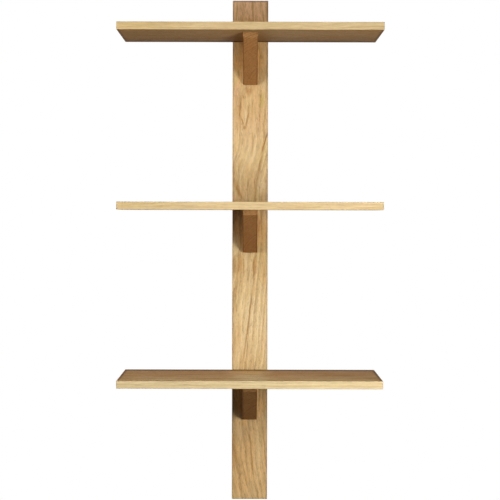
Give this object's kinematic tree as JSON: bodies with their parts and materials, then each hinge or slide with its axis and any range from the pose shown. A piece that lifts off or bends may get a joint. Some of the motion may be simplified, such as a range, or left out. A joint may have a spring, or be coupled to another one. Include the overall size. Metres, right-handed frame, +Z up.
{
  "type": "wall shelf",
  "caption": "Wall-hung oak bookshelf: an upright plank as a spine, crossed by equal level shelves, each on a centred wooden wedge bracket.",
  "frame": {"origin": "the centre of the spine's back face, which lies flat against the wall", "axes": "+X to the right as seen from the room, +Y into the wall, +Z up; the shelves reach forward to -Y"},
  "size_m": [0.6, 0.222, 1.2],
  "materials": {
    "oak_spine": "oiled satin oak",
    "oak_shelf": "oiled satin oak",
    "oak_bracket": "oiled satin oak",
    "beech_dowel": "bare beech",
    "zinc_screw": "bright zinc plate",
    "steel_plate": "zinc-plated pressed steel"
  },
  "bodies": {
    "root": {"spine_board": "oak_spine", "top_shelf": "oak_shelf", "top_bracket": "oak_bracket", "top_dowels": "beech_dowel", "top_shelf_screws": "zinc_screw", "top_bracket_screws": "zinc_screw", "middle_shelf": "oak_shelf", "middle_bracket": "oak_bracket", "middle_dowels": "beech_dowel", "middle_shelf_screws": "zinc_screw", "middle_bracket_screws": "zinc_screw", "bottom_shelf": "oak_shelf", "bottom_bracket": "oak_bracket", "bottom_dowels": "beech_dowel", "bottom_shelf_screws": "zinc_screw", "bottom_bracket_screws": "zinc_screw", "upper_hanger_plate": "steel_plate", "upper_hanger_screws": "zinc_screw", "lower_hanger_plate": "steel_plate", "lower_hanger_screws": "zinc_screw"}
  },
  "joints": []
}
